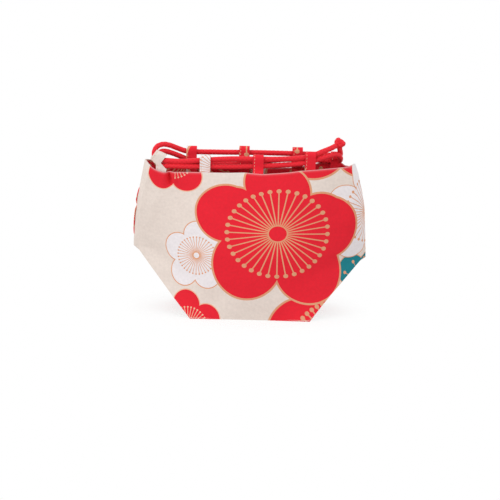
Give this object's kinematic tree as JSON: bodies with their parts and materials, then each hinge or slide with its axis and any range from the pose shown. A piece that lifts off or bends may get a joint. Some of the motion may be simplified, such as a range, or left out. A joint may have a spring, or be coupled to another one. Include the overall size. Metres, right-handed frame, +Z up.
{
  "type": "bento bag",
  "caption": "Lined cloth bento bag with a boxed base, a plum blossom print, cloth tabs round its mouth and a knotted red drawcord",
  "frame": {"origin": "middle of the flat base, on the surface the bag stands on", "axes": "+Z up, +X to the right of someone who faces the front, along the bag's widest side, and the front faces -Y"},
  "size_m": [0.24, 0.112, 0.1789],
  "materials": {
    "print_cloth": "woven cotton, matt, printed with red, white and gold plum blossom",
    "lining_cloth": "plain woven cotton, matt",
    "tab_cloth": "the same printed cotton, folded into narrow strips",
    "cord_braid": "braided cord, softly sheened"
  },
  "bodies": {
    "bag": {"front_panel": "print_cloth", "back_panel": "print_cloth", "base_panel": "print_cloth", "left_gusset": "print_cloth", "right_gusset": "print_cloth", "front_lining": "lining_cloth", "back_lining": "lining_cloth", "base_lining": "lining_cloth", "left_gusset_lining": "lining_cloth", "right_gusset_lining": "lining_cloth", "front_hem": "print_cloth", "back_hem": "print_cloth", "front_tab_1": "tab_cloth", "front_tab_2": "tab_cloth", "front_tab_3": "tab_cloth", "front_tab_4": "tab_cloth", "back_tab_1": "tab_cloth", "back_tab_2": "tab_cloth", "back_tab_3": "tab_cloth", "back_tab_4": "tab_cloth", "cord_inner_bend": "cord_braid", "cord_outer_bend": "cord_braid"},
    "cord": {"cord_upper_front": "cord_braid", "cord_upper_back": "cord_braid", "cord_lower_loop": "cord_braid", "cord_knot": "cord_braid"}
  },
  "joints": [
    {"name": "cord_draw", "type": "slide", "parent": "bag", "child": "cord", "axis": [0.9998, 0, 0.02], "range_m": [0, 0.04], "deforming": ["cord_inner_bend", "cord_outer_bend"]}
  ]
}
